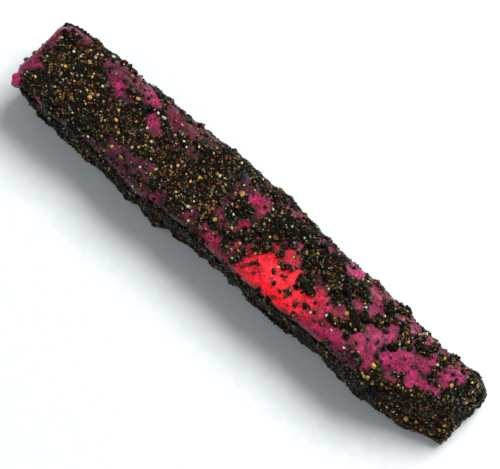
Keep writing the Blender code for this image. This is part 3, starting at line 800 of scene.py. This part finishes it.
# Seeded turns, evenly spread over all directions: four numbers on the unit sphere in four
# dimensions, written out as an array of matrices.
def randomTurns(draw, count):
    first, second, third = draw.uniform(size=(3, count))
    w = np.sqrt(1.0 - first) * np.sin(2.0 * math.pi * second)
    x = np.sqrt(1.0 - first) * np.cos(2.0 * math.pi * second)
    y = np.sqrt(first) * np.sin(2.0 * math.pi * third)
    z = np.sqrt(first) * np.cos(2.0 * math.pi * third)
    rows = [
        [1 - 2 * (y * y + z * z), 2 * (x * y - z * w), 2 * (x * z + y * w)],
        [2 * (x * y + z * w), 1 - 2 * (x * x + z * z), 2 * (y * z - x * w)],
        [2 * (x * z - y * w), 2 * (y * z + x * w), 1 - 2 * (x * x + y * y)],
    ]
    return np.moveaxis(np.array(rows), -1, 0)


# Many grains of one shape as points and faces: each copy's corners are pushed in and out,
# squashed, turned and set at its place.
def stampGrains(draw, shape, middles, sizes):
    corners, faces = shape
    count = len(middles)
    uneven = draw.uniform(*grains["uneven"], size=(count, len(corners), 1))
    flat = draw.uniform(*grains["flatness"], size=(count, 1, 3))
    placed = corners[None] * uneven * flat * sizes[:, None, None]
    placed = np.einsum("nij,nkj->nki", randomTurns(draw, count), placed)
    points = middles[:, None, :] + placed
    numbers = faces[None] + len(corners) * np.arange(count)[:, None, None]
    return points.reshape(-1, 3), numbers.reshape(-1, 3)


# Each grain's own tone and fine noise added up, graded from the kind's dark to its light.
def grainMaterial(name, dark, light, roughness):
    recipe = Recipe(name)
    noise = recipe.noise(grains["noiseScale"], grains["noiseDetail"])
    grade = recipe.sum(noise, grains["noiseShare"], recipe.mark("tone"), grains["toneShare"])
    return recipe.finish({
        "Base Color": recipe.ramp(grade, grains["colourStops"], (dark, light)),
        "Roughness": roughness,
        "Specular IOR Level": grains["specular"],
        "Normal": recipe.bump(noise, grains["bumpStrength"], grains["bumpDistance"]),
    })


# The ground the grains lie on: the crust where it stands proud of the ruby, else the ruby.
def groundSkin():
    cube, quads, _ = blockGrid(crust["step"])
    skin, facing, clean = crustSkin(cube)
    stone = rubySkin(cube)[0]
    proud = ((skin - stone) * facing).sum(axis=1) > 0.0
    return np.where(proud[:, None], skin, stone), facing, clean, quads


# Places drawn evenly by area over the ground, each between the four corners of its face, then
# kept by how covered the place is.
def scatterPlaces(draw, count, ground, facing, clean, quads):
    first, second, third, fourth = (ground[quads[:, corner]] for corner in range(4))
    area = 0.5 * np.linalg.norm(np.cross(third - first, fourth - second), axis=1)
    corners = quads[draw.choice(len(quads), size=count, p=area / area.sum())]
    along, across = draw.uniform(size=(2, count, 1))

    def between(values):
        near = values[corners[:, 0]] * (1.0 - along) + values[corners[:, 1]] * along
        far = values[corners[:, 3]] * (1.0 - along) + values[corners[:, 2]] * along
        return near * (1.0 - across) + far * across

    spot, outward = between(ground), unit(between(facing))
    share = between(clean[:, None])[:, 0]
    chance = np.maximum((1.0 - share) ** grains["thinning"], grains["speckChance"])
    keep = draw.uniform(size=count) < chance
    return spot[keep], outward[keep], share[keep]


# How warm the crust is at each spot, from 0 in the black stretches to 1 in the brown ones: the base,
# swells and each place's weight inside its oval added up, less painted shade, a drop that makes faces
# turned down or sideways blacker.
def crustWarmthAndShade(spots, facing):
    place = spots + np.array(bar["toMiddle"])
    warm = np.full(len(spots), crustToneAndShade["base"])
    for height, length, seed in crustToneAndShade["swells"]:
        warm += height * swell(spots, length, seed)
    fadeFrom, fadeTo = crustToneAndShade["placeFade"]
    upward = smoothStep(facing[:, 2], *crustToneAndShade["placeFacing"])
    for x, y, halfLength, halfWidth, weight in warmPlaces:
        size = np.hypot((place[:, 0] - x) / halfLength, (place[:, 1] - y) / halfWidth)
        warm += weight * smoothStep(-size, -fadeTo, -fadeFrom) * upward
    # painted shade: the crust turns colder and blacker where it faces down or sideways
    warm -= crustToneAndShade["paintedUnderShade"] * smoothStep(-facing[:, 2], *crustToneAndShade["paintedShadeFacing"])
    return np.clip(warm, 0.0, 1.0)


# For each spot the number of its kind, drawn by shares that shift with its warmth.
def drawKinds(draw, warmthAndPaintedLight):
    cold = np.cumsum([kind[4] for kind in grainKinds.values()])
    warm = np.cumsum([kind[5] for kind in grainKinds.values()])
    bounds = cold / cold[-1] + (warm / warm[-1] - cold / cold[-1]) * warmthAndPaintedLight[:, None]
    return (draw.uniform(size=(len(warmthAndPaintedLight), 1)) > bounds[:, :-1]).sum(axis=1)


# The larger grains of one kind: each set on the ground nearest to its place on the top.
def pebblePlaces(ground, facing, kind):
    mine = [(x, y, radius) for x, y, radius, name in pebbles if name == kind]
    if not mine:
        return np.zeros((0, 3)), np.zeros(0)
    place = ground + np.array(bar["toMiddle"])
    topSide = np.flatnonzero(facing[:, 2] > grains["pebbleFacing"])
    middles = []
    for x, y, radius in mine:
        near = topSide[np.argmin(np.hypot(place[topSide, 0] - x, place[topSide, 1] - y))]
        middles.append(ground[near] + facing[near] * radius * grains["pebbleRise"])
    return np.array(middles), np.array([radius for _, _, radius in mine])


# One mesh from several sets of stamped grains, each set with one tone per grain.
def addGrains(name, stamped, material):
    starts = np.cumsum([0] + [len(points) for (points, _), _, _ in stamped[:-1]])
    points = np.concatenate([points for (points, _), _, _ in stamped])
    faces = np.concatenate([faces + start for ((_, faces), _, _), start in zip(stamped, starts)])
    tone = np.concatenate([np.repeat(tones, count) for _, tones, count in stamped])
    mesh = meshFrom(name, points, (faces,), smooth=False, attributes={"tone": tone})
    addPiece(mesh, material)
    print(name, len(faces), "faces")


# Two sets of scattered grains, coarse and fine, each shared out among the kinds. Every kind
# then becomes a coarse piece, with its pebbles, and a fine one.
def makeGrains():
    draw = np.random.default_rng(grains["seed"])
    ground, facing, clean, quads = groundSkin()
    sets = []
    for count, (least, most), shape in (
        (grains["count"], grains["sizes"], (blockCorners, blockFaces)),
        (grains["fineCount"], grains["fineSizes"], (spikeCorners, spikeFaces)),
    ):
        spots, outward, share = scatterPlaces(draw, count, ground, facing, clean, quads)
        sizes = least + (most - least) * draw.uniform(size=len(spots)) ** grains["smallPower"]
        sizes *= np.where(share > grains["cleanFrom"], grains["cleanSize"], 1.0)
        middles = spots - outward * (sizes * grains["sunk"])[:, None]
        middles[:, 2] = np.maximum(middles[:, 2], sizes * grains["floorSizes"])
        sets.append((middles, sizes, drawKinds(draw, crustWarmthAndShade(spots, outward)), shape))
    for index, (kind, (slot, dark, light, roughness, _, _)) in enumerate(grainKinds.items()):
        material = grainMaterial(kind, dark, light, roughness)
        places, radii = pebblePlaces(ground, facing, kind)
        pebbleSet = stampGrains(draw, (ballCorners, ballFaces), places, radii)
        stamped = [(pebbleSet, draw.uniform(*grains["pebbleTones"], len(places)), len(ballCorners))]
        for middles, sizes, kinds, shape in sets:
            mine = kinds == index
            grainSet = stampGrains(draw, shape, middles[mine], sizes[mine])
            tones = draw.uniform(size=mine.sum()) ** grains["darkPower"]
            stamped.append((grainSet, tones, len(shape[0])))
        addGrains(kind, stamped[:2], material)
        addGrains(kind.replace("Grains", "Fines"), stamped[2:], material)


# The view, in degrees and millimetres, with the nearest that it shows in metres
view = {
    "azimuth": 67.3,
    "elevation": 73.0,
    "roll": 25.5,
    "distance": 549.0,
    "lens": 180.0,
    "lookAt": (1.62, -0.22, 8.5),
    "nearest": 0.01,
}


# A camera on a ball round the point it looks at, turned, tilted down and rolled.
def makeCamera():
    turn, tilt, roll = (math.radians(view[key]) for key in ("azimuth", "elevation", "roll"))
    away = Vector((-math.sin(turn), math.cos(turn), 0.0))
    right = Vector((away.y, -away.x, 0.0))
    ahead = away * math.cos(tilt) - Vector((0.0, 0.0, math.sin(tilt)))
    up = right.cross(ahead)
    cameraX = right * math.cos(roll) - up * math.sin(roll)
    cameraY = right * math.sin(roll) + up * math.cos(roll)
    data = bpy.data.cameras.new("camera")
    data.lens = view["lens"]
    data.clip_start = view["nearest"]
    camera = bpy.data.objects.new("camera", data)
    axes = Matrix((cameraX, cameraY, -ahead)).transposed().to_4x4()
    spot = (Vector(view["lookAt"]) - ahead * view["distance"]) * mm
    camera.matrix_world = Matrix.Translation(spot) @ axes
    bpy.context.scene.collection.objects.link(camera)
    bpy.context.scene.camera = camera


# The floor, in metres
floorLook = {
    "halfSize": 3.0,
    "noiseScale": 400.0,
    "noiseDetail": 3.0,
    "colourStops": (0.3, 0.7),
    "dark": colour(232, 237, 240),
    "light": colour(240, 244, 246),
    "roughness": 0.6,
}


# One square, faintly mottled.
def makeFloor():
    reach = floorLook["halfSize"]
    corners = [(-reach, -reach, 0.0), (reach, -reach, 0.0), (reach, reach, 0.0), (-reach, reach, 0.0)]
    mesh = bpy.data.meshes.new("floor")
    mesh.from_pydata(corners, [], [(0, 1, 2, 3)])
    recipe = Recipe("paleFloor")
    mottle = recipe.noise(floorLook["noiseScale"], floorLook["noiseDetail"])
    paint = recipe.ramp(mottle, floorLook["colourStops"], (floorLook["dark"], floorLook["light"]))
    mesh.materials.append(recipe.finish({"Base Color": paint, "Roughness": floorLook["roughness"]}))
    floor = bpy.data.objects.new("floor", mesh)
    bpy.context.scene.collection.objects.link(floor)


# The lights, in metres: name, place, what it points at, size, watts and tint. The two small
# ones lie under the stone and shine up through it.
lights = (
    ("softKey", (0.2, 0.6, 0.75), (0.0, 0.0, 0.0), (0.6, 0.45), 13.0, (1.0, 1.0, 1.0)),
    ("fill", (-0.5, -0.4, 0.8), (0.0, 0.0, 0.0), (0.6, 0.6), 0.6, (1.0, 1.0, 1.0)),
    (
        "underGlow", (0.0125, -0.003, 0.00006), (0.0125, -0.003, 1.0),
        (0.015, 0.007), 0.13, (1.0, 0.5, 0.5),
    ),
    (
        "underGlowRight", (0.024, -0.004, 0.00006), (0.024, -0.004, 1.0),
        (0.01, 0.006), 0.006, (1.0, 0.5, 0.5),
    ),
)
room = {"colour": (0.93, 0.96, 1.0, 1.0), "strength": 0.31}


# A rectangular light, turned so that it faces its target.
def areaLight(name, spot, target, size, power, tint):
    data = bpy.data.lights.new(name, "AREA")
    data.shape = "RECTANGLE"
    data.size, data.size_y = size
    data.energy = power
    data.color = tint
    light = bpy.data.objects.new(name, data)
    light.location = spot
    light.rotation_euler = (Vector(target) - Vector(spot)).to_track_quat("-Z", "Y").to_euler()
    bpy.context.scene.collection.objects.link(light)


# The lights above, in an evenly pale room.
def makeLight():
    for light in lights:
        areaLight(*light)
    world = bpy.data.worlds.new("paleRoom")
    world.use_nodes = True
    background = world.node_tree.nodes["Background"]
    background.inputs["Color"].default_value = room["colour"]
    background.inputs["Strength"].default_value = room["strength"]
    bpy.context.scene.world = world
    bpy.context.scene.view_settings.view_transform = "Standard"


makeRuby()
print("ruby made")
makeCrust()
print("crust made")
makeGrains()
print("grains made")
makeCamera()
makeFloor()
makeLight()
print("view, floor and light made")
